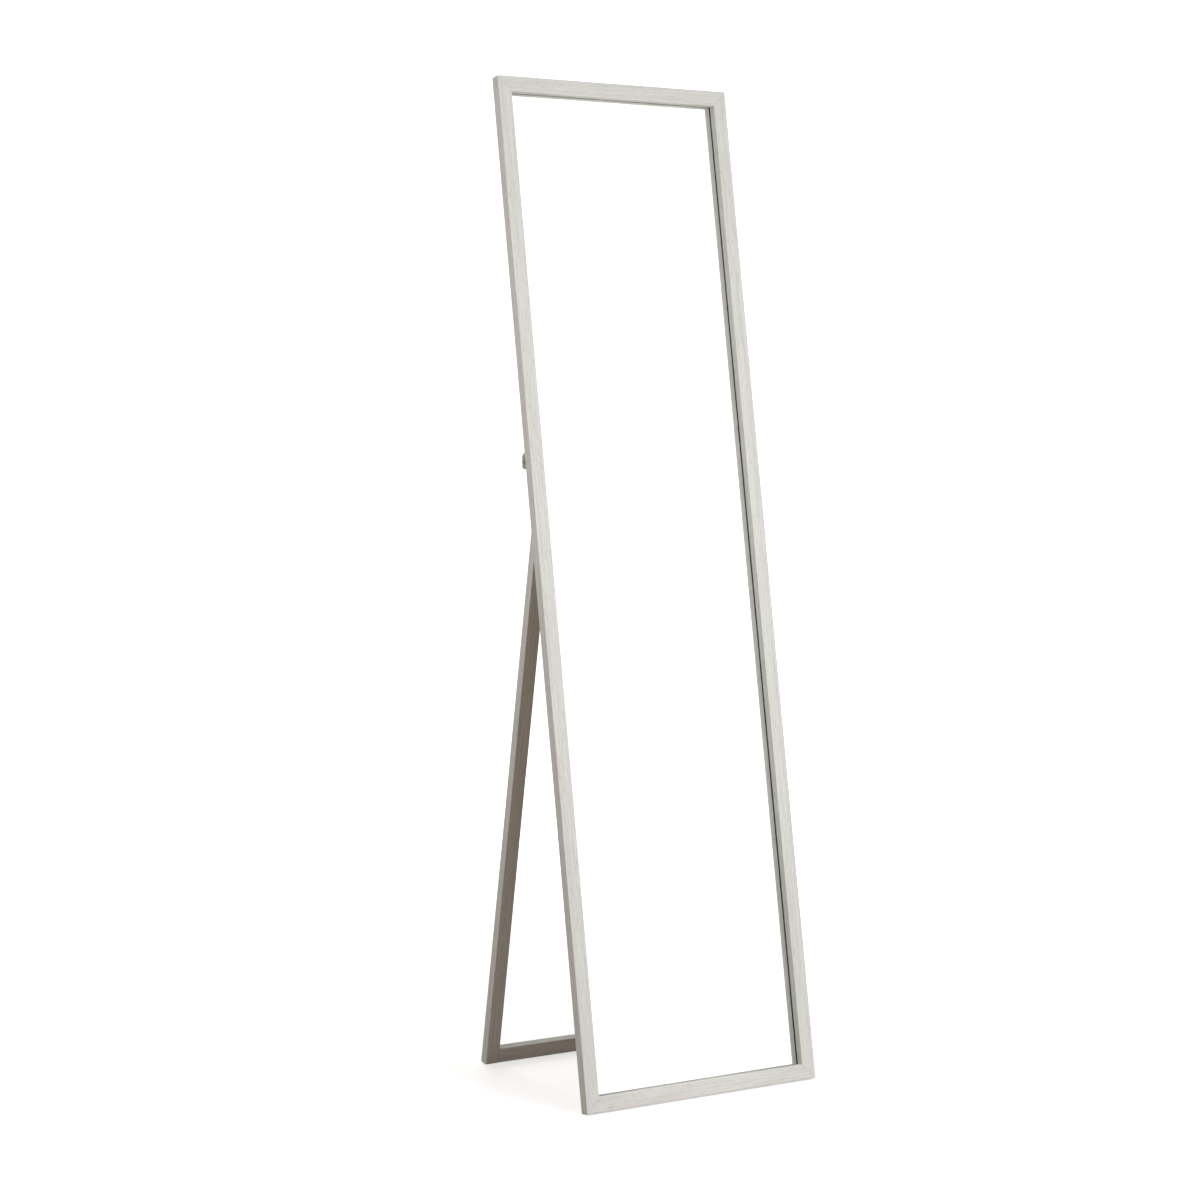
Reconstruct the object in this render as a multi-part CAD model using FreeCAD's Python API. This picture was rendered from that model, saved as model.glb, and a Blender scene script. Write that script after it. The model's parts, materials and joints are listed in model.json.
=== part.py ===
import FreeCAD, Part
import math
import os

from FreeCAD import Vector

# Easel-back floor mirror: a leaning mirror frame with a leg frame pivoted on its back.
# Millimetres. +Z is up, the mirror faces -Y, and X runs from its left side to its right side
# as seen from the front. The origin is on the floor, under the middle of the whole object.
#
# Both frames are drawn upright first and stood up afterwards. While upright, x runs across,
# y runs from the front face backwards, and z runs up along the slope from the bottom end.

# ---- driving dimensions ----

MIRROR_HEIGHT = 1520.0
MIRROR_WIDTH = 408.0
MIRROR_LEAN = 9.39
LEG_LEAN = 10.53

FRAME_FACE = 22.5
FRAME_DEPTH = 16.5
REBATE_WIDTH = 8.0
REBATE_DEPTH = 4.7
GLASS_THICKNESS = 3.0
BOARD_THICKNESS = 1.5
GLASS_GAP = 0.8
BOARD_GAP = 0.5
ARRIS = 1.0
CORNER_RADIUS = 1.5

LEG_FACE = 23.0
LEG_DEPTH = 15.0
LEG_FRAME_WIDTH = 342.0
PIVOT_HEIGHT = 948.7

STOP_GAP = 0.3
RUNNING_GAP = 0.05
CUT_CLEAR = 1.0
RECESS_REACH = 0.55
RECESS_HALF_WIDTH = 0.16
HEAD_ROUNDING = 0.6

BRACKET_INSET = 3.5
BRACKET_GAUGE = 2.0
BRACKET_HALF_HEIGHT = 10.3
BRACKET_MARGIN = 4.5
CHEEK_TAPER = 3.0
CHEEK_TOP_RADIUS = 2.5
CHEEK_BOTTOM_RADIUS = 4.0
FLANGE_WIDTH = 16.0
FLANGE_LENGTH = 39.0
FLANGE_TOP_DROP = 1.0
FLANGE_TOP_RADIUS = 2.0
FLANGE_BOTTOM_RADIUS = 4.0
FLANGE_SCREW_DROPS = (18.0, 33.0)
FLANGE_SCREW_SHIFT = 1.0

PIVOT_SETBACK = 5.0
PIVOT_RADIUS = 2.0
PIVOT_HEAD_RADIUS = 3.8
PIVOT_HEAD_HEIGHT = 1.4
PIVOT_RECESS_DEPTH = 0.8
PIVOT_END_GAP = 0.5
INSERT_RADIUS = 3.0
INSERT_LENGTH = 12.0
WASHER_RADIUS = 4.5
WASHER_THICKNESS = 1.0

MITRE_DOWEL_RADIUS = 3.0
MITRE_DOWEL_LENGTH = 22.0
MITRE_DOWEL_INSET = 14.0
LEG_DOWEL_RADIUS = 3.0
LEG_DOWEL_LENGTH = 30.0
LEG_DOWEL_OFFSET = 5.0

WOOD_SCREW_HEAD_RADIUS = 3.4
WOOD_SCREW_RADIUS = 1.7
WOOD_SCREW_RECESS_DEPTH = 0.9
FLANGE_SCREW_LENGTH = 15.0
LAP_SCREW_LENGTH = 13.0
LAP_SCREW_OFFSET = 5.0

BUTTON_LENGTH = 18.0
BUTTON_WIDTH = 8.0
BUTTON_GAUGE = 1.0
BUTTON_INSET = 5.0
END_FLAT = 0.01
BUTTON_HEIGHTS = (90.0, 420.0, 750.0, 1090.0, 1430.0)
BUTTON_SCREW_HEAD_RADIUS = 2.9
BUTTON_SCREW_HEAD_HEIGHT = 1.4
BUTTON_SCREW_RADIUS = 1.4
BUTTON_SCREW_LENGTH = 10.0
BUTTON_SCREW_RECESS_DEPTH = 0.7

BUMPER_RADIUS = 5.0
BUMPER_RISE = 7.5
BUMPER_ROUNDING = 1.0

# ---- derived dimensions ----

LEAN = math.radians(MIRROR_LEAN)
SPREAD = math.radians(MIRROR_LEAN + LEG_LEAN)
LIP = FRAME_DEPTH - REBATE_DEPTH
HALF_WIDTH = MIRROR_WIDTH / 2
HALF_FACE = LEG_FACE / 2
HALF_DEPTH = LEG_DEPTH / 2

# The rounded front arris of the leg's top rail bears on the stiles when the leg is open.
CORNER_REACH = ((PIVOT_SETBACK - ARRIS) * math.cos(SPREAD)
                + (HALF_FACE - ARRIS) * math.sin(SPREAD) + ARRIS)
PIVOT_STANDOFF = CORNER_REACH + STOP_GAP
PIVOT_DEPTH = FRAME_DEPTH + PIVOT_STANDOFF
BUMPER_THICKNESS = PIVOT_STANDOFF - PIVOT_SETBACK - STOP_GAP

# The mirror frame stands on its back bottom edge, and the leg frame on its front bottom edge.
MIRROR_LIFT = FRAME_DEPTH * math.sin(LEAN)
PIVOT_Y = PIVOT_HEIGHT * math.sin(LEAN) + PIVOT_DEPTH * math.cos(LEAN)
PIVOT_Z = MIRROR_LIFT + PIVOT_HEIGHT * math.cos(LEAN) - PIVOT_DEPTH * math.sin(LEAN)
LEG_TILT = math.radians(LEG_LEAN)
LEG_PIVOT = (PIVOT_Z - PIVOT_SETBACK * math.sin(LEG_TILT)) / math.cos(LEG_TILT)
LEG_FRONT = PIVOT_Y + LEG_PIVOT * math.sin(LEG_TILT) - PIVOT_SETBACK * math.cos(LEG_TILT)
LEG_TOP = LEG_PIVOT + HALF_FACE
FOOTPRINT = LEG_FRONT + LEG_DEPTH * math.cos(LEG_TILT)

CHEEK_INNER = BRACKET_INSET + BRACKET_GAUGE
WASHER_OUTER = CHEEK_INNER + STOP_GAP
RAIL_INSET = WASHER_OUTER + WASHER_THICKNESS
LEG_INSET = HALF_WIDTH - LEG_FRAME_WIDTH / 2

X_AXIS = Vector(1, 0, 0)
Y_AXIS = Vector(0, 1, 0)
ORIGIN = Vector(0, 0, 0)


# ---- drawing helpers ----

def rounded_outline(corners):
    """Closed wire through (point, radius) corners; a radius of 0 leaves the corner sharp."""
    entries, exits, middles = [], [], []
    count = len(corners)
    for i, (point, radius) in enumerate(corners):
        before = (corners[i - 1][0] - point).normalize()
        after = (corners[(i + 1) % count][0] - point).normalize()
        half = before.getAngle(after) / 2
        setback = radius / math.tan(half)
        centre = point + (before + after).normalize() * (radius / math.sin(half))
        entries.append(point + before * setback)
        exits.append(point + after * setback)
        middles.append(centre + (point - centre).normalize() * radius if radius else point)
    edges = []
    for i in range(count):
        if corners[i][1]:
            edges.append(Part.Arc(entries[i], middles[i], exits[i]).toShape())
        edges.append(Part.LineSegment(exits[i], entries[(i + 1) % count]).toShape())
    return Part.Wire(edges)


def prism(corners, sweep):
    """Solid swept from a rounded outline."""
    return Part.Face(rounded_outline(corners)).extrude(sweep)


def block(x_range, y_range, z_range):
    """Box between low and high limits."""
    low = Vector(x_range[0], y_range[0], z_range[0])
    size = [high - low_end for low_end, high in (x_range, y_range, z_range)]
    return Part.makeBox(size[0], size[1], size[2], low)


def mirrored(shape):
    """The same piece on the other side of the middle plane."""
    return shape.mirror(ORIGIN, X_AXIS)


def cross_recess(head_radius, depth):
    """Cross-shaped cutter that opens at z = 0 and reaches down."""
    arm = head_radius * RECESS_REACH
    half = head_radius * RECESS_HALF_WIDTH
    long_arm = block((-arm, arm), (-half, half), (-depth, CUT_CLEAR))
    short_arm = block((-half, half), (-arm, arm), (-depth, CUT_CLEAR))
    return long_arm.fuse(short_arm)


def countersunk_screw(head_radius, shank_radius, length):
    """Flush screw with its head's face at z = 0 and its shank pointing down."""
    head_height = head_radius - shank_radius
    head = Part.makeCone(shank_radius, head_radius, head_height, Vector(0, 0, -head_height))
    shank = Part.makeCylinder(shank_radius, length - head_height, Vector(0, 0, -length))
    return head.fuse(shank).removeSplitter()


def pan_screw(head_radius, head_height, shank_radius, length):
    """Screw with its head standing on z = 0 and its shank pointing down."""
    head = Part.makeCylinder(head_radius, head_height)
    rim = [edge for edge in head.Edges if abs(edge.CenterOfMass.z - head_height) < 1e-6]
    head = head.makeFillet(head_height * HEAD_ROUNDING, rim)
    shank = Part.makeCylinder(shank_radius, length, Vector(0, 0, -length))
    return head.fuse(shank).removeSplitter()


def drive_forward(shape, x, y, z):
    """Turn a screw drawn along Z so that it is driven in from behind, and place it."""
    turned = shape.copy()
    turned.rotate(ORIGIN, X_AXIS, -90)
    turned.translate(Vector(x, y, z))
    return turned


def cut_all(shape, cutters):
    """Cut every cutter out of a shape."""
    for cutter in cutters:
        shape = shape.cut(cutter)
    return shape


def both_sides(shapes):
    """Each shape and its mirror image."""
    return [piece for shape in shapes for piece in (shape, mirrored(shape))]


# ---- mirror frame, drawn upright ----

def frame_moulding(length):
    """Mitred length of the frame: outer edge on x = 0, front on y = 0, length along z."""
    inner = FRAME_FACE - REBATE_WIDTH
    section = [
        (Vector(0, 0, 0), ARRIS),
        (Vector(FRAME_FACE, 0, 0), ARRIS),
        (Vector(FRAME_FACE, LIP, 0), 0),
        (Vector(inner, LIP, 0), 0),
        (Vector(inner, FRAME_DEPTH, 0), 0),
        (Vector(0, FRAME_DEPTH, 0), ARRIS),
    ]
    bar = prism(section, Vector(0, 0, length))
    trapezoid = [
        (Vector(0, 0, 0), 0),
        (Vector(0, 0, length), 0),
        (Vector(FRAME_FACE, 0, length - FRAME_FACE), 0),
        (Vector(FRAME_FACE, 0, FRAME_FACE), 0),
    ]
    return bar.common(prism(trapezoid, Vector(0, FRAME_DEPTH, 0)))


def frame_outline():
    """Solid as deep as the frame, with the frame's rounded outer corners."""
    corners = [
        (Vector(-HALF_WIDTH, 0, 0), CORNER_RADIUS),
        (Vector(HALF_WIDTH, 0, 0), CORNER_RADIUS),
        (Vector(HALF_WIDTH, 0, MIRROR_HEIGHT), CORNER_RADIUS),
        (Vector(-HALF_WIDTH, 0, MIRROR_HEIGHT), CORNER_RADIUS),
    ]
    return prism(corners, Vector(0, FRAME_DEPTH, 0))


def mitre_dowels():
    """One hidden dowel across each mitre."""
    across = Vector(1, 0, -1).normalize()
    dowels = []
    for z, slope in ((0.0, 1), (MIRROR_HEIGHT, -1)):
        direction = Vector(across.x, 0, across.z * slope)
        centre = Vector(-HALF_WIDTH + MITRE_DOWEL_INSET, LIP / 2, z + slope * MITRE_DOWEL_INSET)
        start = centre - direction * (MITRE_DOWEL_LENGTH / 2)
        dowels.append(Part.makeCylinder(MITRE_DOWEL_RADIUS, MITRE_DOWEL_LENGTH, start, direction))
    return both_sides(dowels)


def button_places():
    """Where each turn button's screw goes on the back, and the button's direction in degrees."""
    screw_inset = BUTTON_INSET + BUTTON_WIDTH / 2
    places = [(-HALF_WIDTH + screw_inset, z, 0) for z in BUTTON_HEIGHTS]
    places += [(HALF_WIDTH - screw_inset, z, 180) for z in BUTTON_HEIGHTS]
    places.append((0.0, screw_inset, -90))
    places.append((0.0, MIRROR_HEIGHT - screw_inset, 90))
    return places


def turn_button(x, z, direction):
    """Round-ended steel plate that holds the backing board, with its screw hole at x, z."""
    end = BUTTON_WIDTH / 2
    reach = BUTTON_LENGTH - BUTTON_WIDTH
    rounding = end - END_FLAT
    corners = [(Vector(-end, 0, -end), rounding), (Vector(reach + end, 0, -end), rounding),
               (Vector(reach + end, 0, end), rounding), (Vector(-end, 0, end), rounding)]
    plate = prism(corners, Vector(0, BUTTON_GAUGE, 0))
    plate.rotate(ORIGIN, Y_AXIS, direction)
    plate.translate(Vector(x, FRAME_DEPTH, z))
    return plate


def button_screw(x, z):
    """Pan-head screw of one turn button."""
    screw = pan_screw(BUTTON_SCREW_HEAD_RADIUS, BUTTON_SCREW_HEAD_HEIGHT,
                      BUTTON_SCREW_RADIUS, BUTTON_SCREW_LENGTH)
    recess = cross_recess(BUTTON_SCREW_HEAD_RADIUS, BUTTON_SCREW_RECESS_DEPTH)
    recess.translate(Vector(0, 0, BUTTON_SCREW_HEAD_HEIGHT))
    return drive_forward(screw.cut(recess), x, FRAME_DEPTH + BUTTON_GAUGE, z)


def pivot_bracket():
    """Left steel angle: a flange on the stile's back and a cheek that carries the pivot."""
    outer = -HALF_WIDTH + BRACKET_INSET
    rear = PIVOT_DEPTH + BRACKET_MARGIN
    top = PIVOT_HEIGHT + BRACKET_HALF_HEIGHT
    low = PIVOT_HEIGHT - BRACKET_HALF_HEIGHT
    cheek_corners = [
        (Vector(outer, FRAME_DEPTH, top), 0),
        (Vector(outer, rear, top), CHEEK_TOP_RADIUS),
        (Vector(outer, rear, low), CHEEK_BOTTOM_RADIUS),
        (Vector(outer, FRAME_DEPTH, low - CHEEK_TAPER), 0),
    ]
    cheek = prism(cheek_corners, Vector(BRACKET_GAUGE, 0, 0))
    flange_top = PIVOT_HEIGHT - FLANGE_TOP_DROP
    flange_end = flange_top - FLANGE_LENGTH
    inner = outer + FLANGE_WIDTH
    flange_corners = [
        (Vector(outer, FRAME_DEPTH, flange_top), 0),
        (Vector(inner, FRAME_DEPTH, flange_top), FLANGE_TOP_RADIUS),
        (Vector(inner, FRAME_DEPTH, flange_end), FLANGE_BOTTOM_RADIUS),
        (Vector(outer, FRAME_DEPTH, flange_end), FLANGE_BOTTOM_RADIUS),
    ]
    flange = prism(flange_corners, Vector(0, BRACKET_GAUGE, 0))
    hole = Part.makeCylinder(PIVOT_RADIUS + RUNNING_GAP, 3 * BRACKET_GAUGE,
                             Vector(outer - BRACKET_GAUGE, PIVOT_DEPTH, PIVOT_HEIGHT), X_AXIS)
    return cheek.fuse(flange).removeSplitter().cut(hole)


def bracket_screws():
    """Two flush screws through each bracket's flange into the stile."""
    x = -HALF_WIDTH + FRAME_FACE / 2 + FLANGE_SCREW_SHIFT
    blank = countersunk_screw(WOOD_SCREW_HEAD_RADIUS, WOOD_SCREW_RADIUS, FLANGE_SCREW_LENGTH)
    return [drive_forward(blank, x, FRAME_DEPTH + BRACKET_GAUGE, PIVOT_HEIGHT - drop)
            for drop in FLANGE_SCREW_DROPS]


def fold_bumper():
    """Left rubber disc on the bottom rail's back, where the folded leg frame comes to rest."""
    disc = Part.makeCylinder(BUMPER_RADIUS, BUMPER_THICKNESS)
    rim = [edge for edge in disc.Edges if abs(edge.CenterOfMass.z - BUMPER_THICKNESS) < 1e-6]
    disc = disc.makeFillet(BUMPER_ROUNDING, rim)
    x = -HALF_WIDTH + LEG_INSET + HALF_FACE
    return drive_forward(disc, x, FRAME_DEPTH, BUMPER_RISE)


# ---- leg frame, drawn upright ----

def leg_bar(length):
    """Length of the leg's moulding along z, with its outer edge on x = 0."""
    section = [
        (Vector(0, 0, 0), ARRIS),
        (Vector(LEG_FACE, 0, 0), ARRIS),
        (Vector(LEG_FACE, LEG_DEPTH, 0), ARRIS),
        (Vector(0, LEG_DEPTH, 0), ARRIS),
    ]
    return prism(section, Vector(0, 0, length))


def leg_post():
    """Left leg: its rear half runs on over the top rail as the tongue of a halved joint."""
    post = leg_bar(LEG_TOP)
    post.translate(Vector(-LEG_FRAME_WIDTH / 2, 0, 0))
    x = -LEG_FRAME_WIDTH / 2
    return post.cut(block((x, x + LEG_FACE), (0, HALF_DEPTH), (LEG_TOP - LEG_FACE, LEG_TOP)))


def leg_cross_bar(length, bottom):
    """Length of the leg's moulding across the frame, with its lower edge at bottom."""
    bar = leg_bar(length)
    bar.rotate(ORIGIN, Y_AXIS, -90)
    bar.translate(Vector(length / 2, 0, bottom))
    return bar


def top_cross_bar():
    """Top rail, longer than the leg frame is wide, with a housing for each leg's tongue."""
    rail = leg_cross_bar(MIRROR_WIDTH - 2 * RAIL_INSET, LEG_TOP - LEG_FACE)
    x = -LEG_FRAME_WIDTH / 2
    housing = block((x, x + LEG_FACE), (HALF_DEPTH, LEG_DEPTH), (LEG_TOP - LEG_FACE, LEG_TOP))
    return cut_all(rail, [housing, mirrored(housing)])


def leg_dowels():
    """Two dowels at each end of the bottom rail."""
    x = -LEG_FRAME_WIDTH / 2 + LEG_FACE - LEG_DOWEL_LENGTH / 2
    dowels = []
    for offset in (-LEG_DOWEL_OFFSET, LEG_DOWEL_OFFSET):
        start = Vector(x, HALF_DEPTH, HALF_FACE + offset)
        dowels.append(Part.makeCylinder(LEG_DOWEL_RADIUS, LEG_DOWEL_LENGTH, start, X_AXIS))
    return both_sides(dowels)


def lap_screws():
    """Two flush screws through each leg's tongue into the top rail."""
    blank = countersunk_screw(WOOD_SCREW_HEAD_RADIUS, WOOD_SCREW_RADIUS, LAP_SCREW_LENGTH)
    x = -LEG_FRAME_WIDTH / 2 + HALF_FACE
    return [drive_forward(blank, x + offset, LEG_DEPTH, LEG_PIVOT - offset)
            for offset in (-LAP_SCREW_OFFSET, LAP_SCREW_OFFSET)]


def rail_end_cylinder(radius, inset, length):
    """Cylinder on the pivot line, starting at an inset from the mirror's left side."""
    start = Vector(-HALF_WIDTH + inset, PIVOT_SETBACK, LEG_PIVOT)
    return Part.makeCylinder(radius, length, start, X_AXIS)


def pivot_washer():
    """Left nylon washer between the rail's end and the bracket's cheek."""
    disc = rail_end_cylinder(WASHER_RADIUS, WASHER_OUTER, WASHER_THICKNESS)
    bore = rail_end_cylinder(PIVOT_RADIUS, WASHER_OUTER - CUT_CLEAR,
                             WASHER_THICKNESS + 2 * CUT_CLEAR)
    return disc.cut(bore)


def pivot_insert():
    """Left brass insert, set flush in the rail's end."""
    sleeve = rail_end_cylinder(INSERT_RADIUS, RAIL_INSET, INSERT_LENGTH)
    bore = rail_end_cylinder(PIVOT_RADIUS, RAIL_INSET - CUT_CLEAR, INSERT_LENGTH + 2 * CUT_CLEAR)
    return sleeve.cut(bore)


def pivot_screw():
    """Left pivot: a low-headed screw through the cheek and washer into the insert."""
    under_head = BRACKET_INSET - STOP_GAP
    length = RAIL_INSET + INSERT_LENGTH - PIVOT_END_GAP - under_head
    screw = pan_screw(PIVOT_HEAD_RADIUS, PIVOT_HEAD_HEIGHT, PIVOT_RADIUS, length)
    recess = cross_recess(PIVOT_HEAD_RADIUS, PIVOT_RECESS_DEPTH)
    recess.translate(Vector(0, 0, PIVOT_HEAD_HEIGHT))
    screw = screw.cut(recess)
    screw.rotate(ORIGIN, Y_AXIS, -90)
    screw.translate(Vector(-HALF_WIDTH + under_head, PIVOT_SETBACK, LEG_PIVOT))
    return screw


# ---- standing the two frames up ----

def lean_back(shape):
    """Stand a piece of the mirror frame on its back bottom edge, leaning backwards."""
    placed = shape.copy()
    placed.rotate(ORIGIN, X_AXIS, -MIRROR_LEAN)
    placed.translate(Vector(0, -FOOTPRINT / 2, MIRROR_LIFT))
    return placed


def lean_forward(shape):
    """Stand a piece of the leg frame on its front bottom edge, leaning forwards."""
    placed = shape.copy()
    placed.rotate(ORIGIN, X_AXIS, LEG_LEAN)
    placed.translate(Vector(0, LEG_FRONT - FOOTPRINT / 2, 0))
    return placed


def recessed(screws):
    """Wood screws with a cross recess in each head, cut from behind."""
    cutter = cross_recess(WOOD_SCREW_HEAD_RADIUS, WOOD_SCREW_RECESS_DEPTH)
    finished = []
    for screw in screws:
        box = screw.BoundBox
        place = Vector((box.XMin + box.XMax) / 2, box.YMax, (box.ZMin + box.ZMax) / 2)
        finished.append(screw.cut(drive_forward(cutter, place.x, place.y, place.z)))
    return finished


def build_mirror():
    """Every node of the mirror frame, upright."""
    dowels = mitre_dowels()
    buttons = [turn_button(x, z, direction) for x, z, direction in button_places()]
    screws = [button_screw(x, z) for x, z, _ in button_places()]
    flange_screws = bracket_screws()
    all_flange_screws = both_sides(flange_screws)

    stile = frame_moulding(MIRROR_HEIGHT)
    stile.translate(Vector(-HALF_WIDTH, 0, 0))
    bottom = frame_moulding(MIRROR_WIDTH)
    bottom.rotate(ORIGIN, Y_AXIS, -90)
    bottom.translate(Vector(HALF_WIDTH, 0, 0))
    top = frame_moulding(MIRROR_WIDTH)
    top.rotate(ORIGIN, Y_AXIS, 90)
    top.translate(Vector(-HALF_WIDTH, 0, MIRROR_HEIGHT))

    outline = frame_outline()
    cutters = dowels + screws + all_flange_screws
    glass_inset = FRAME_FACE - REBATE_WIDTH + GLASS_GAP
    board_inset = FRAME_FACE - REBATE_WIDTH + BOARD_GAP
    glass = block((glass_inset - HALF_WIDTH, HALF_WIDTH - glass_inset),
                  (LIP, LIP + GLASS_THICKNESS),
                  (glass_inset, MIRROR_HEIGHT - glass_inset))
    board = block((board_inset - HALF_WIDTH, HALF_WIDTH - board_inset),
                  (LIP + GLASS_THICKNESS, LIP + GLASS_THICKNESS + BOARD_THICKNESS),
                  (board_inset, MIRROR_HEIGHT - board_inset))
    bracket = cut_all(pivot_bracket(), flange_screws)
    bumper = fold_bumper()
    return {
        "left_stile": [cut_all(stile.common(outline), cutters)],
        "right_stile": [cut_all(mirrored(stile).common(outline), cutters)],
        "top_rail": [cut_all(top.common(outline), cutters)],
        "bottom_rail": [cut_all(bottom.common(outline), cutters)],
        "mitre_dowels": dowels,
        "mirror_glass": [glass],
        "backing_board": [board],
        "turn_buttons": [cut_all(button, [screw]) for button, screw in zip(buttons, screws)],
        "button_screws": screws,
        "left_pivot_bracket": [bracket],
        "right_pivot_bracket": [mirrored(bracket)],
        "bracket_screws": recessed(all_flange_screws),
        "fold_bumpers": [bumper, mirrored(bumper)],
    }


def build_leg():
    """Every node of the leg frame, upright."""
    dowels = leg_dowels()
    screws = both_sides(lap_screws())
    socket = rail_end_cylinder(INSERT_RADIUS, RAIL_INSET - CUT_CLEAR, INSERT_LENGTH + CUT_CLEAR)
    sockets = both_sides([socket])
    post = cut_all(leg_post(), dowels + screws)
    top = cut_all(top_cross_bar(), screws + sockets)
    bottom = cut_all(leg_cross_bar(LEG_FRAME_WIDTH - 2 * LEG_FACE, 0), dowels)
    return {
        "left_leg": [post],
        "right_leg": [mirrored(post)],
        "leg_top_rail": [top],
        "leg_bottom_rail": [bottom],
        "leg_dowels": dowels,
        "lap_screws": recessed(screws),
        "pivot_inserts": both_sides([pivot_insert()]),
        "pivot_screws": both_sides([pivot_screw()]),
        "pivot_washers": both_sides([pivot_washer()]),
    }


def export_nodes(nodes, stand_up):
    """Write one STEP file for each node."""
    for name, solids in nodes.items():
        placed = [stand_up(solid) for solid in solids]
        shape = placed[0] if len(placed) == 1 else Part.makeCompound(placed)
        shape.exportStep("parts/" + name + ".step")


os.makedirs("parts", exist_ok=True)
export_nodes(build_mirror(), lean_back)
export_nodes(build_leg(), lean_forward)

# Numbers for the record: the pivot line and the angle between the two frames.
print("pivot", PIVOT_Y - FOOTPRINT / 2, PIVOT_Z)
print("spread", MIRROR_LEAN + LEG_LEAN)
print("footprint", FOOTPRINT, "stand-off", PIVOT_STANDOFF)
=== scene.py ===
import json
import math

import bmesh
import bpy
from mathutils import Matrix, Vector


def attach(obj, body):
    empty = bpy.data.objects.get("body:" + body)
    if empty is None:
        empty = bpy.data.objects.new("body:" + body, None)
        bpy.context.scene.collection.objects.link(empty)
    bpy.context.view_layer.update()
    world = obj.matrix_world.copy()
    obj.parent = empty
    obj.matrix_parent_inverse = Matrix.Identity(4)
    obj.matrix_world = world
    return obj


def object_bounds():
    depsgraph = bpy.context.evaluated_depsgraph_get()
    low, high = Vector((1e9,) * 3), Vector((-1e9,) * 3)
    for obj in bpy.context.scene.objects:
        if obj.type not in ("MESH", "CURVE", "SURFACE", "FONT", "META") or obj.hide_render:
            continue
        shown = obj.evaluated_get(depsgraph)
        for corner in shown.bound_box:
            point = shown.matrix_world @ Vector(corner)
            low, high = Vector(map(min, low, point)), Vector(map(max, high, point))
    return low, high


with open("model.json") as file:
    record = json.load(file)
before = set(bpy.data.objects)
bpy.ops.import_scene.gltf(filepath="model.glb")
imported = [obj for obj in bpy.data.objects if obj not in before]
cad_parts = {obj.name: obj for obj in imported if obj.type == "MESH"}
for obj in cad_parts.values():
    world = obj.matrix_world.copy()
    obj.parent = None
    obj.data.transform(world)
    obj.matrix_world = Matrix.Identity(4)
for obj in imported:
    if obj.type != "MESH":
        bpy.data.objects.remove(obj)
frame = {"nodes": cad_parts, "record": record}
cad_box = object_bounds()
nodes = frame["nodes"]
mounts = {mount["name"]: mount for mount in frame["record"]["mounts"]}

# Looks of the easel-back floor mirror. Metres, in the frame's own axes: +Z is up, the mirror
# faces -Y, and X runs from its left side to its right side as seen from the front.

MM = 0.001
RIGHT = Vector((1, 0, 0))
FRAME_AXES = (RIGHT, Vector((0, 1, 0)), Vector((0, 0, 1)))


# ---- the two leaning frames ----

def leaning_axes(mount_name):
    """Up and back directions of a leaning frame, from the square end that it stands on."""
    up = -Vector(mounts[mount_name]["axis"])
    return up, Vector((0, up.z, -up.y))


def extent(node, direction):
    """Lowest and highest reach of a node's mesh along a direction."""
    reach = [vertex.co.dot(direction) for vertex in nodes[node].data.vertices]
    return min(reach), max(reach)


def middle(node):
    """Middle of a node's box."""
    return Vector([sum(extent(node, axis)) / 2 for axis in FRAME_AXES])


MIRROR_UP, MIRROR_BACK = leaning_axes("mirror_foot")
LEG_UP, LEG_BACK = leaning_axes("leg_foot")


# ---- shader trees ----

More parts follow.
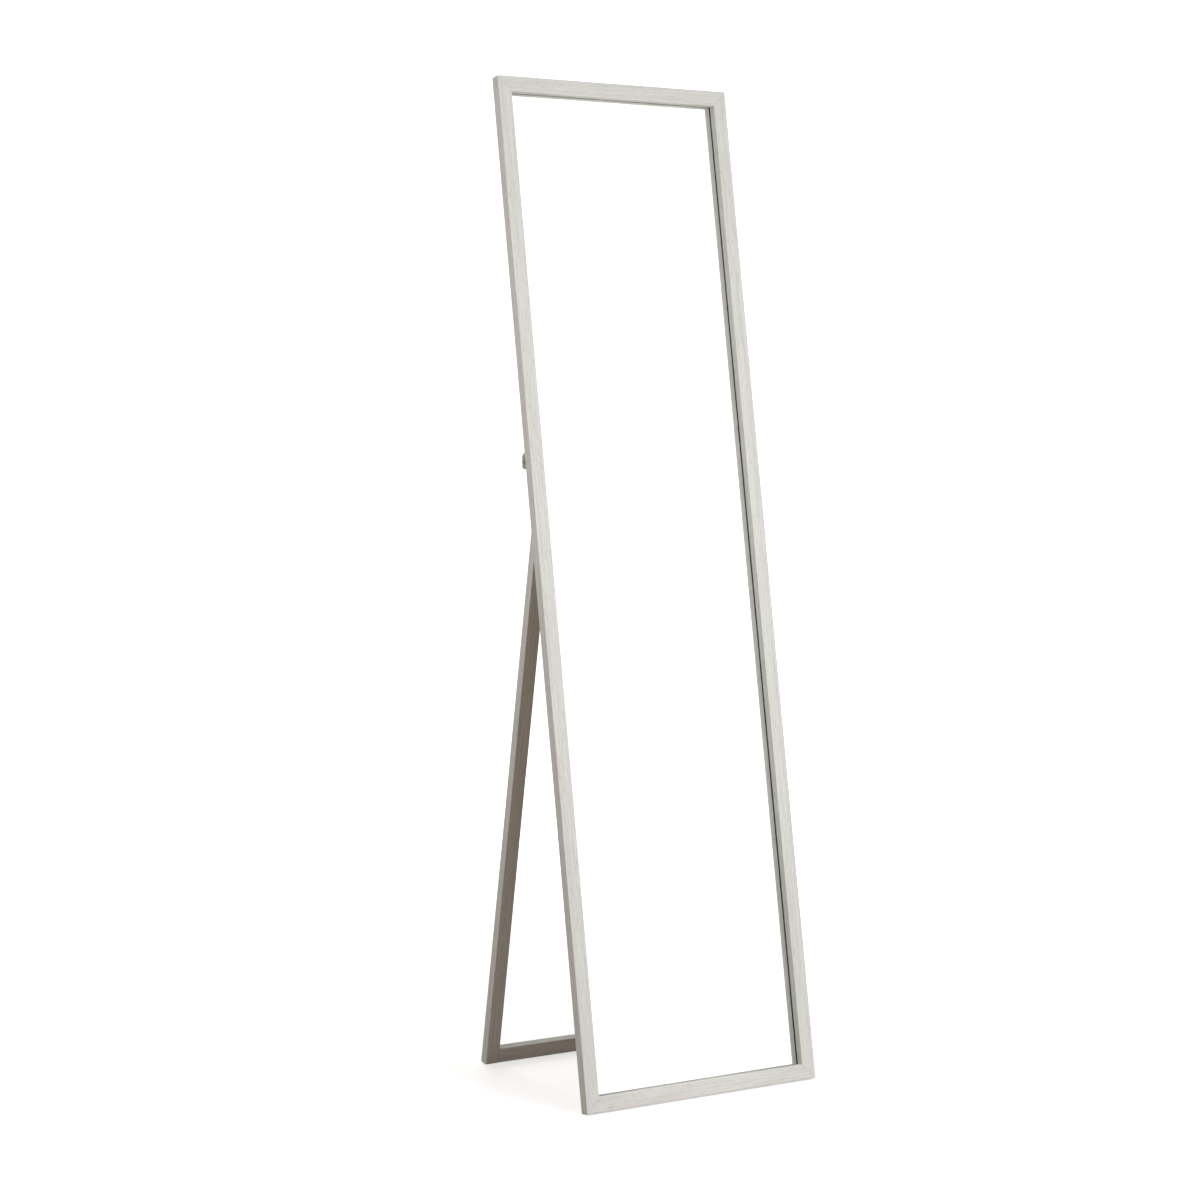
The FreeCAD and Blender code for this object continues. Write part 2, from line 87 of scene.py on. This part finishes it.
class Tree:
    """The node tree of a new material or of a world, with short ways to add and join nodes."""

    def __init__(self, owner):
        if isinstance(owner, str):
            owner = bpy.data.materials.new(owner)
        owner.use_nodes = True
        self.owner = owner
        self.nodes = owner.node_tree.nodes
        self.links = owner.node_tree.links

    def feed(self, socket, value):
        if isinstance(value, bpy.types.NodeSocket):
            self.links.new(value, socket)
        else:
            socket.default_value = value

    def add(self, kind, inputs, **settings):
        node = self.nodes.new("ShaderNode" + kind)
        for key, value in settings.items():
            setattr(node, key, value)
        for key, value in inputs.items():
            self.feed(node.inputs[key], value)
        return node

    def math(self, operation, first, second=0.0):
        return self.add("Math", {0: first, 1: second}, operation=operation).outputs[0]

    def vector_math(self, operation, first, second):
        node = self.add("VectorMath", {0: first, 1: second}, operation=operation)
        return node.outputs["Value" if operation == "LENGTH" else "Vector"]

    def stretch(self, place, scale):
        """Position scaled axis by axis; a small factor draws a texture out along its axis."""
        return self.vector_math("MULTIPLY", place, scale)

    def place(self):
        """Position on the object, which stays with the piece when it moves."""
        return self.add("TexCoord", {}).outputs["Object"]

    def noise(self, place, scale, detail=2.0, roughness=0.5):
        inputs = {"Vector": place, "Scale": scale, "Detail": detail, "Roughness": roughness}
        return self.add("TexNoise", inputs).outputs["Fac"]

    def noise_colour(self, place, scale):
        return self.add("TexNoise", {"Vector": place, "Scale": scale}).outputs["Color"]

    def smooth_range(self, value, low, high, to_low=0.0, to_high=1.0):
        """Value mapped from low..high to to_low..to_high along a smooth step."""
        inputs = {"Value": value, "From Min": low, "From Max": high,
                  "To Min": to_low, "To Max": to_high}
        node = self.add("MapRange", inputs, interpolation_type="SMOOTHSTEP")
        return node.outputs["Result"]

    def mix(self, factor, first, second):
        """Mix of two colours, each a socket or three numbers."""
        node = self.add("Mix", {"Factor": factor}, data_type="RGBA")
        colour_a, colour_b = [s for s in node.inputs if s.type == "RGBA"]
        for socket, value in ((colour_a, first), (colour_b, second)):
            self.feed(socket, value if isinstance(value, bpy.types.NodeSocket) else (*value, 1))
        return [s for s in node.outputs if s.type == "RGBA"][0]

    def bump(self, height, strength, distance, under=None):
        inputs = {"Height": height, "Strength": strength, "Distance": distance}
        if under is not None:
            inputs["Normal"] = under
        return self.add("Bump", inputs).outputs["Normal"]

    def finish(self, **sockets):
        """Feed the Principled shader; a name's underscores stand for spaces."""
        for key, value in sockets.items():
            if isinstance(value, tuple):
                value = (*value, 1)
            self.feed(self.nodes["Principled BSDF"].inputs[key.replace("_", " ")], value)
        return self.owner


# ---- washed wood ----

WASH_LIGHT = (0.735, 0.725, 0.700)
WASH_DARK = (0.590, 0.578, 0.548)
WASH_WARM = (0.690, 0.655, 0.615)
PORE_BROWN = (0.300, 0.250, 0.195)
# Worn-wash colour of the arrises, also used as a painted highlight.
ARRIS_WEAR_AND_HIGHLIGHT = (0.800, 0.765, 0.700)
SEAM_BROWN = (0.250, 0.215, 0.175)
# Painted shade for the stiles' rebates.
REBATE_SHADE_BROWN = (0.130, 0.098, 0.070)

PORE_STRENGTH = 0.29
PATCH_STRENGTH = 0.45

# Grain: rings about a distant pith, a sideways drift, and a step along from member to member.
PITH_DISTANCE = 45 * MM
RING_PITCH = 3.1 * MM
GRAIN_DRIFT = 10 * MM
GRAIN_STEP = 3.7

# Worn arrises, lightened also as a painted highlight, and mitre seams: full up to one distance from the
# line, gone at the other.
ARRIS_MARK_FULL = 0.9 * MM
ARRIS_MARK_END = 1.9 * MM
ARRIS_MARK_WOBBLE = 1.9 * MM
ARRIS_MARK_STRENGTH = 0.55

SEAM_FULL = 0.10 * MM
SEAM_END = 0.32 * MM
SEAM_STRENGTH = 0.35

# Painted shade: a deep brown in the rebates of the stiles, where the lip and the glass edge lie in
# shade, from just short of the rebate's own faces. The backing board has a side gap in its rebate.
BOARD_GAP = 0.5 * MM
REBATE_SHADE_START = -0.20 * MM
REBATE_SHADE_FULL = -0.05 * MM
SHADED_REBATES = ("left_stile", "right_stile")


def member_place(tree, node, across, back, seed):
    """Position in a member: x in from its outer side, y from its front, z along it.

    The second position is moved along by the seed, so that no two members share their grain.
    """
    along = across.cross(back)
    low = [extent(node, direction)[0] for direction in (across, back, along)]
    turn = Matrix((across, back, along)).to_euler()
    mapping = tree.add("Mapping", {"Vector": tree.place(), "Location": [-low[0], -low[1], -low[2]],
                                   "Rotation": turn}, vector_type="POINT")
    local = mapping.outputs["Vector"]
    return local, tree.vector_math("ADD", local, (0.0, 0.0, GRAIN_STEP * seed))


def arris_distance(tree, local, width, depth):
    """Distance along the surface from the nearest long edge of a member."""
    split = tree.add("SeparateXYZ", {"Vector": local}).outputs
    edges = []
    for position, size in ((split["X"], width), (split["Y"], depth)):
        edges.append(tree.math("MINIMUM", position, tree.math("SUBTRACT", size, position)))
    return tree.math("MAXIMUM", edges[0], edges[1])


def mitre_distance(tree, local, length):
    """Distance from the nearer mitre plane at the ends of a frame member."""
    split = tree.add("SeparateXYZ", {"Vector": local}).outputs
    far_end = tree.math("SUBTRACT", length, split["Z"])
    nearer = tree.math("MINIMUM", split["Z"], far_end)
    return tree.math("ABSOLUTE", tree.math("SUBTRACT", nearer, split["X"]))


def rebate_depth(tree, node, local, across):
    """How far a point of a mirror-frame member lies inside its rebate, in the nearer direction."""
    split = tree.add("SeparateXYZ", {"Vector": local}).outputs
    lip = extent("mirror_glass", MIRROR_BACK)[0] - extent(node, MIRROR_BACK)[0]
    wall = extent("backing_board", across)[0] - extent(node, across)[0] - BOARD_GAP
    return tree.math("MINIMUM", tree.math("SUBTRACT", split["Y"], lip),
                     tree.math("SUBTRACT", split["X"], wall))


def drifted(tree, grain):
    """Grain position that drifts slowly sideways along the member."""
    drift = tree.noise_colour(tree.stretch(grain, (1.0, 1.0, 0.12)), 24.0)
    drift = tree.vector_math("SUBTRACT", drift, (0.5, 0.5, 0.5))
    drift = tree.stretch(drift, (GRAIN_DRIFT, GRAIN_DRIFT, 0.0))
    return tree.vector_math("ADD", grain, drift)


def growth_rings(tree, grain, seed):
    """Tone of the growth rings about a pith line outside the section."""
    pith = (-PITH_DISTANCE * math.cos(seed), -PITH_DISTANCE * math.sin(seed), 0.0)
    from_pith = tree.vector_math("SUBTRACT", tree.stretch(grain, (1.0, 1.0, 0.0)), pith)
    radius = tree.vector_math("LENGTH", from_pith, (0, 0, 0))
    return tree.smooth_range(tree.math("SINE", tree.math("MULTIPLY", radius, math.tau / RING_PITCH)),
                             -1.0, 1.0)


def arris_wear_and_highlight(tree, local, grain, width, depth):
    """How far the wash is rubbed thin along the long edges, unevenly; the same lightening also serves
    as a painted highlight on the rounded arrises.
    """
    uneven = tree.noise(tree.stretch(grain, (1.0, 1.0, 0.15)), 420.0, 3.0, 0.65)
    distance = tree.math("ADD", arris_distance(tree, local, width, depth),
                         tree.math("MULTIPLY", uneven, ARRIS_MARK_WOBBLE))
    return tree.math("MULTIPLY", tree.smooth_range(distance, ARRIS_MARK_FULL, ARRIS_MARK_END, 1.0, 0.0),
                     ARRIS_MARK_STRENGTH)


def washed_wood(node, across, back, seed, mitred):
    """Straight-grained hardwood under a thin grey-white wash, for one member, with a painted highlight
    on its arrises and, on the stiles, painted shade in the rebates.
    """
    tree = Tree("washed_wood_" + node)
    local, grain = member_place(tree, node, across, back, seed)
    width, depth, length = [high - low for low, high in (
        extent(node, direction) for direction in (across, back, across.cross(back)))]

    grain = drifted(tree, grain)
    rings = growth_rings(tree, grain, seed)
    streak = tree.noise(tree.stretch(grain, (1.0, 1.0, 0.022)), 330.0, 4.0, 0.6)
    fibre = tree.noise(tree.stretch(grain, (1.0, 1.0, 0.018)), 1500.0, 3.0, 0.6)
    pores = tree.noise(tree.stretch(grain, (1.0, 1.0, 0.06)), 1250.0, 1.0, 0.4)
    pores = tree.smooth_range(pores, 0.60, 0.70)
    patches = tree.noise(tree.stretch(grain, (1.0, 1.0, 0.35)), 26.0, 3.0, 0.55)

    # Streaks, fibres and rings share out the tone between the dark and the light wash.
    tone = tree.math("MULTIPLY", tree.smooth_range(streak, 0.32, 0.68), 0.50)
    tone = tree.math("ADD", tone, tree.math("MULTIPLY", tree.smooth_range(fibre, 0.3, 0.7), 0.28))
    tone = tree.math("ADD", tone, tree.math("MULTIPLY", rings, 0.22))
    colour = tree.mix(tone, WASH_DARK, WASH_LIGHT)
    colour = tree.mix(tree.smooth_range(patches, 0.48, 0.72, 0.0, PATCH_STRENGTH), colour, WASH_WARM)
    colour = tree.mix(tree.math("MULTIPLY", pores, PORE_STRENGTH), colour, PORE_BROWN)
    # Lighter worn wash along the arrises, which is also a painted highlight.
    colour = tree.mix(arris_wear_and_highlight(tree, local, grain, width, depth), colour, ARRIS_WEAR_AND_HIGHLIGHT)
    if mitred:
        distance = mitre_distance(tree, local, length)
        seam = tree.smooth_range(distance, SEAM_FULL, SEAM_END, SEAM_STRENGTH, 0.0)
        colour = tree.mix(seam, colour, SEAM_BROWN)
    # Painted shade deep in the stiles' rebates, at the glass edge.
    if node in SHADED_REBATES:
        rebate_shade = tree.smooth_range(rebate_depth(tree, node, local, across), REBATE_SHADE_START, REBATE_SHADE_FULL)
        colour = tree.mix(rebate_shade, colour, REBATE_SHADE_BROWN)

    relief = tree.math("SUBTRACT", tree.math("MULTIPLY", fibre, 0.6), tree.math("MULTIPLY", pores, 0.5))
    normal = tree.bump(streak, 0.35, 0.25 * MM)
    normal = tree.bump(relief, 0.45, 0.12 * MM, normal)
    roughness = tree.smooth_range(tree.math("ADD", streak, pores), 0.3, 1.2, 0.54, 0.74)
    return tree.finish(Base_Color=colour, Roughness=roughness, Normal=normal, Specular_IOR_Level=0.28)


# ---- other materials ----

def beech():
    """Plain beech of the hidden dowels, with short dark flecks."""
    tree = Tree("beech")
    long_way = tree.stretch(tree.place(), (0.3, 1.0, 1.0))
    fleck = tree.smooth_range(tree.noise(long_way, 1600.0, 2.0), 0.55, 0.7)
    colour = tree.mix(tree.noise(long_way, 220.0, 3.0), (0.52, 0.34, 0.19), (0.68, 0.49, 0.30))
    colour = tree.mix(tree.math("MULTIPLY", fleck, 0.5), colour, (0.30, 0.17, 0.08))
    return tree.finish(Base_Color=colour, Roughness=tree.smooth_range(fleck, 0, 1, 0.5, 0.7),
                       Normal=tree.bump(fleck, 0.3, 0.05 * MM))


def clear_glass():
    """Clear float glass, faintly green through its thickness."""
    tree = Tree("clear_glass")
    haze = tree.smooth_range(tree.noise(tree.place(), 14.0, 3.0), 0.35, 0.75)
    colour = tree.mix(haze, (0.975, 0.995, 0.985), (0.985, 1.0, 0.992))
    material = tree.finish(Base_Color=colour, Roughness=0.0, IOR=1.52, Transmission_Weight=1.0)
    absorb = tree.nodes.new("ShaderNodeVolumeAbsorption")
    absorb.inputs["Color"].default_value = (0.60, 0.86, 0.74, 1)
    absorb.inputs["Density"].default_value = 9.0
    tree.links.new(absorb.outputs["Volume"], tree.nodes["Material Output"].inputs["Volume"])
    return material


def silver():
    """Silvering seen through the glass."""
    tree = Tree("silver")
    cloud = tree.noise(tree.place(), 9.0, 2.0)
    colour = tree.mix(cloud, (0.955, 0.962, 0.958), (0.972, 0.975, 0.972))
    return tree.finish(Base_Color=colour, Metallic=1.0, Roughness=0.0)


def hardboard():
    """Brown pressed-fibre board with pale and dark flecks."""
    tree = Tree("hardboard")
    place = tree.place()
    clouds = tree.noise(place, 7.0, 4.0, 0.6)
    flecks = tree.noise(place, 900.0, 3.0, 0.65)
    fibres = tree.noise(tree.stretch(place, (1.0, 1.0, 0.22)), 520.0, 4.0, 0.7)
    colour = tree.mix(clouds, (0.150, 0.086, 0.044), (0.235, 0.145, 0.080))
    colour = tree.mix(tree.smooth_range(flecks, 0.56, 0.72, 0.0, 0.55), colour, (0.42, 0.30, 0.19))
    colour = tree.mix(tree.smooth_range(fibres, 0.58, 0.74, 0.0, 0.60), colour, (0.070, 0.038, 0.020))
    return tree.finish(Base_Color=colour, Roughness=tree.smooth_range(clouds, 0.3, 0.7, 0.46, 0.62),
                       Normal=tree.bump(tree.math("ADD", flecks, fibres), 0.25, 0.08 * MM))


def zinc_steel():
    """Bright zinc plate on steel, slightly mottled."""
    tree = Tree("zinc_steel")
    place = tree.place()
    mottle = tree.noise(place, 420.0, 3.0, 0.6)
    brushed = tree.noise(tree.stretch(place, (1.0, 1.0, 0.08)), 5200.0, 2.0)
    colour = tree.mix(mottle, (0.47, 0.48, 0.48), (0.66, 0.66, 0.62))
    roughness = tree.smooth_range(tree.math("ADD", mottle, brushed), 0.7, 1.3, 0.28, 0.46)
    return tree.finish(Base_Color=colour, Metallic=1.0, Roughness=roughness,
                       Normal=tree.bump(brushed, 0.12, 0.03 * MM))


def coated_steel():
    """Grey satin powder coat, with its fine orange-peel surface."""
    tree = Tree("coated_steel")
    place = tree.place()
    peel = tree.noise(place, 1400.0, 2.0, 0.5)
    cloud = tree.noise(place, 60.0, 3.0)
    colour = tree.mix(cloud, (0.330, 0.330, 0.322), (0.365, 0.363, 0.352))
    return tree.finish(Base_Color=colour, Roughness=tree.smooth_range(cloud, 0.3, 0.7, 0.36, 0.50),
                       Normal=tree.bump(peel, 0.30, 0.06 * MM))


def brass():
    """Turned brass, dulled in patches."""
    tree = Tree("brass")
    place = tree.place()
    dull = tree.noise(place, 300.0, 3.0)
    rings = tree.noise(tree.stretch(place, (1.0, 0.05, 0.05)), 4200.0, 1.0)
    colour = tree.mix(dull, (0.52, 0.35, 0.12), (0.72, 0.53, 0.24))
    return tree.finish(Base_Color=colour, Metallic=1.0,
                       Roughness=tree.smooth_range(dull, 0.3, 0.7, 0.25, 0.48),
                       Normal=tree.bump(rings, 0.2, 0.05 * MM))


def nylon():
    """Natural nylon, slightly see-through white."""
    tree = Tree("nylon")
    cloud = tree.noise(tree.place(), 500.0, 2.0)
    colour = tree.mix(cloud, (0.70, 0.68, 0.62), (0.80, 0.79, 0.74))
    return tree.finish(Base_Color=colour, Roughness=tree.smooth_range(cloud, 0.3, 0.7, 0.34, 0.46),
                       Subsurface_Weight=0.15, Subsurface_Scale=0.8 * MM)


def rubber():
    """Black rubber with a dusty bloom."""
    tree = Tree("rubber")
    bloom = tree.noise(tree.place(), 650.0, 4.0, 0.65)
    colour = tree.mix(bloom, (0.012, 0.012, 0.013), (0.045, 0.044, 0.043))
    return tree.finish(Base_Color=colour, Roughness=tree.smooth_range(bloom, 0.3, 0.7, 0.62, 0.86),
                       Normal=tree.bump(bloom, 0.35, 0.06 * MM))


# ---- dressing the CAD nodes ----

PRESSED_EDGE = 0.2 * MM
PRESSED_EDGE_ANGLE = math.radians(50)


def dress(node, material):
    """Give a CAD node its material."""
    slots = nodes[node].data.materials
    slots.clear()
    slots.append(material)


def soften(node):
    """Round the pressed edges of a sheet-metal node."""
    rounding = nodes[node].modifiers.new("soften", "BEVEL")
    rounding.width = PRESSED_EDGE
    rounding.segments = 2
    rounding.limit_method = "ANGLE"
    rounding.angle_limit = PRESSED_EDGE_ANGLE


# For each member: the way in from its outer side, the way back from its front, and whether its
# ends are mitred.
MEMBERS = {
    "left_stile": (RIGHT, MIRROR_BACK, True),
    "right_stile": (-RIGHT, MIRROR_BACK, True),
    "top_rail": (-MIRROR_UP, MIRROR_BACK, True),
    "bottom_rail": (MIRROR_UP, MIRROR_BACK, True),
    "left_leg": (RIGHT, LEG_BACK, False),
    "right_leg": (-RIGHT, LEG_BACK, False),
    "leg_top_rail": (-LEG_UP, LEG_BACK, False),
    "leg_bottom_rail": (LEG_UP, LEG_BACK, False),
}
for number, (member, (way_in, way_back, is_mitred)) in enumerate(MEMBERS.items(), 1):
    dress(member, washed_wood(member, way_in, way_back, number, is_mitred))

SLOT_LOOKS = {
    "dowel_wood": beech(),
    "mirror_plate": clear_glass(),
    "hardboard": hardboard(),
    "zinc_steel": zinc_steel(),
    "coated_steel": coated_steel(),
    "insert_brass": brass(),
    "washer_nylon": nylon(),
    "bumper_rubber": rubber(),
}
for subpart in frame["record"]["subparts"]:
    if subpart["material_slot"] in SLOT_LOOKS:
        dress(subpart["node"], SLOT_LOOKS[subpart["material_slot"]])

for pressed in ("left_pivot_bracket", "right_pivot_bracket", "turn_buttons"):
    soften(pressed)


# ---- silvering on the back of the glass ----

SILVER_BEHIND_FRONT = 2.95 * MM
SILVER_THICKNESS = 0.02 * MM
SILVER_MARGIN = 0.3 * MM
SILVER_EDGE = 0.005 * MM


def silvering():
    """Thin reflecting layer inside the glass, at its back face."""
    mesh = bmesh.new()
    bmesh.ops.create_cube(mesh, size=1.0)
    left, right = extent("mirror_glass", RIGHT)
    front = extent("mirror_glass", MIRROR_BACK)[0]
    bottom, top = extent("mirror_glass", MIRROR_UP)
    size = (right - left - 2 * SILVER_MARGIN, SILVER_THICKNESS, top - bottom - 2 * SILVER_MARGIN)
    centre = (RIGHT * (left + right) / 2 + MIRROR_BACK * (front + SILVER_BEHIND_FRONT)
              + MIRROR_UP * (bottom + top) / 2)
    turn = Matrix((RIGHT, MIRROR_BACK, MIRROR_UP)).transposed().to_4x4()
    mesh.transform(Matrix.Translation(centre) @ turn @ Matrix.Diagonal((*size, 1)))
    bmesh.ops.bevel(mesh, geom=mesh.edges[:], offset=SILVER_EDGE, segments=1, affect="EDGES")
    data = bpy.data.meshes.new("silvering")
    mesh.to_mesh(data)
    mesh.free()
    sheet = bpy.data.objects.new("silvering", data)
    bpy.context.scene.collection.objects.link(sheet)
    data.materials.append(silver())
    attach(sheet, "mirror")


silvering()


# ---- studio: floor, white surround and soft lights ----

FLOOR_SIZE = 40.0
FLOOR_SEEN = (0.90, 0.90, 0.895)
FLOOR_BOUNCE = (0.43, 0.370, 0.297)
FLOOR_GLOW_NEAR = 0.46
FLOOR_GLOW_FAR = 1.10
GLOW_START = 0.6
GLOW_END = 3.2
SURROUND_SEEN = 1.35
SURROUND_FILL = 0.34
SURROUND_THROW = 1.30
SURROUND_GLEAM = 0.90
FLOOR_THROW = 1.80

COOL = (0.94, 0.972, 1.0)
LIGHT_COOL = (0.96, 0.98, 1.0)
LIGHT_WARM = (1.0, 0.99, 0.96)
FAINT_WARM = (1.0, 0.99, 0.98)
WHITE = (1.0, 1.0, 1.0)


def light_paths(tree):
    """Switches for a ray that shows the studio, one thrown by the mirror, and a soft gleam.

    The studio is shown straight and in the mirror. What the mirror throws onto the wood beside
    it is brighter than the soft fill, as it carries the lights' reflections.
    """
    path = tree.add("LightPath", {}).outputs
    scattered = tree.math("GREATER_THAN", path["Diffuse Depth"], 0.5)
    straight = tree.math("SUBTRACT", 1.0, scattered)
    sharp = tree.math("MAXIMUM", path["Is Camera Ray"], path["Is Singular Ray"])
    seen = tree.math("MULTIPLY", sharp, straight)
    thrown = tree.math("MULTIPLY", path["Is Transmission Ray"], scattered)
    blurred = tree.math("MULTIPLY", path["Is Glossy Ray"], tree.math("SUBTRACT", 1.0, sharp))
    gleam = tree.math("MULTIPLY", blurred, straight)
    return seen, thrown, gleam


def studio_floor():
    """Plain pale floor, which throws back a softer, warmer light than it shows."""
    half = FLOOR_SIZE / 2
    corners = [(-half, -half, 0), (half, -half, 0), (half, half, 0), (-half, half, 0)]
    data = bpy.data.meshes.new("floor")
    data.from_pydata(corners, [], [(0, 1, 2, 3)])
    floor = bpy.data.objects.new("floor", data)
    floor.location.z = cad_box[0].z
    bpy.context.scene.collection.objects.link(floor)
    tree = Tree("floor")
    seen, thrown, _ = light_paths(tree)
    colour = tree.mix(seen, FLOOR_BOUNCE, FLOOR_SEEN)
    distance = tree.vector_math("LENGTH", tree.place(), (0, 0, 0))
    glow = tree.smooth_range(distance, GLOW_START, GLOW_END, FLOOR_GLOW_NEAR, FLOOR_GLOW_FAR)
    glow = tree.math("MULTIPLY", glow, seen)
    thrown_glow = tree.math("MULTIPLY", thrown, FLOOR_THROW)
    data.materials.append(tree.finish(Base_Color=colour, Roughness=0.9, Specular_IOR_Level=0.0,
                                      Emission_Color=(1.0, 1.0, 1.0),
                                      Emission_Strength=tree.math("ADD", glow, thrown_glow)))


def surround():
    """White studio all round: bright where it is seen, soft as a light."""
    world = bpy.data.worlds.new("surround")
    bpy.context.scene.world = world
    tree = Tree(world)
    strength = SURROUND_FILL
    for switch, level in zip(light_paths(tree), (SURROUND_SEEN, SURROUND_THROW, SURROUND_GLEAM)):
        strength = tree.math("ADD", tree.math("MULTIPLY", switch, level - SURROUND_FILL), strength)
    tree.feed(tree.nodes["Background"].inputs["Color"], (1, 1, 1, 1))
    tree.feed(tree.nodes["Background"].inputs["Strength"], strength)


def soft_light(name, place, target, size, power, colour, spread=180):
    """Square soft light that can't itself be seen. A small spread, in degrees, narrows its beam."""
    data = bpy.data.lights.new(name, "AREA")
    data.shape = "SQUARE"
    data.size = size
    data.energy = power
    data.color = colour
    data.spread = math.radians(spread)
    light = bpy.data.objects.new(name, data)
    light.location = place
    light.rotation_euler = (Vector(target) - Vector(place)).to_track_quat("-Z", "Y").to_euler()
    light.visible_camera = False
    light.visible_glossy = False
    light.visible_transmission = False
    bpy.context.scene.collection.objects.link(light)


studio_floor()
surround()
soft_light("key", place=(1.3, -3.4, 1.9), target=(0.0, 0.0, cad_box[1].z / 2), size=2.2,
           power=39.0, colour=COOL)
soft_light("low_key", place=(0.8, -3.4, 0.6), target=(0.0, 0.0, 0.4), size=1.6,
           power=59.0, colour=LIGHT_COOL)
soft_light("side_fill", place=(-2.0, -0.5, 1.7), target=(-0.2, 0.0, 1.0), size=0.9,
           power=5.6, colour=LIGHT_WARM, spread=100)
# Two narrow lights, from below and from above, reach the inner lips of the rails.
soft_light("under_fill", place=(0.0, -0.30, 0.1), target=middle("top_rail"), size=0.24,
           power=0.38, colour=FAINT_WARM, spread=40)
soft_light("over_fill", place=(0.0, -0.06, 1.35), target=middle("bottom_rail"), size=0.16,
           power=0.13, colour=FAINT_WARM, spread=24)
soft_light("back_fill", place=(0.9, 3.2, 1.8), target=(0.0, 0.0, cad_box[1].z / 2), size=2.2,
           power=55.0, colour=WHITE)


# ---- camera ----

CAMERA_PLACE = (-2.2541, -3.4415, 1.0074)
CAMERA_YAW = 32.431
CAMERA_PITCH = -3.944
CAMERA_LENS = 81.87
CAMERA_SENSOR = 36.0

camera_data = bpy.data.cameras.new("camera")
camera_data.sensor_width = CAMERA_SENSOR
camera_data.lens = CAMERA_LENS
camera = bpy.data.objects.new("camera", camera_data)
camera.location = CAMERA_PLACE
camera.rotation_euler = (math.radians(90 + CAMERA_PITCH), 0.0, math.radians(-CAMERA_YAW))
bpy.context.scene.collection.objects.link(camera)
bpy.context.scene.camera = camera
bpy.context.scene.view_settings.view_transform = "Standard"
